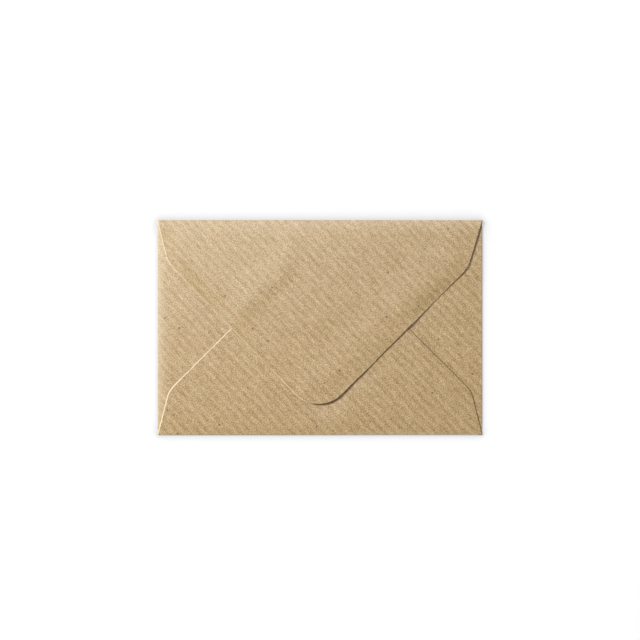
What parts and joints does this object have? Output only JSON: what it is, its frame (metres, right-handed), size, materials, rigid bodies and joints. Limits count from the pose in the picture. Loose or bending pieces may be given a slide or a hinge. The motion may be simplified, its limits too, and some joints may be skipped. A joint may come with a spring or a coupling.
{
  "type": "envelope",
  "caption": "Small kraft paper envelope, closed, with a deep round-tipped seal flap that opens at its top fold, and glued side and bottom flaps.",
  "frame": {"origin": "middle of the envelope's footprint, on the address face that it rests on", "axes": "+X along the long side, to the right as the flap side is looked at; +Y towards the seal flap's fold; +Z out of the flap side"},
  "size_m": [0.094, 0.0624, 0.0009],
  "materials": {
    "kraft_paper": "machine-glazed, with fine diagonal ribs and a fibrous surface",
    "dried_gum": "thin, clear and glossy, like dried water-based gum"
  },
  "bodies": {
    "pocket": {"front_panel": "kraft_paper", "left_side_flap": "kraft_paper", "right_side_flap": "kraft_paper", "bottom_flap": "kraft_paper", "left_fold": "kraft_paper", "right_fold": "kraft_paper", "bottom_fold": "kraft_paper", "top_fold": "kraft_paper", "left_seam_gum": "dried_gum", "right_seam_gum": "dried_gum"},
    "flap": {"seal_flap": "kraft_paper", "seal_gum": "dried_gum"}
  },
  "joints": [
    {"name": "seal_flap_fold", "type": "hinge", "parent": "pocket", "child": "flap", "pos_m": [0, 0.0312, 0.00046], "axis": [-1, 0, 0], "range_deg": [0, 180], "deforming": ["top_fold"]}
  ]
}
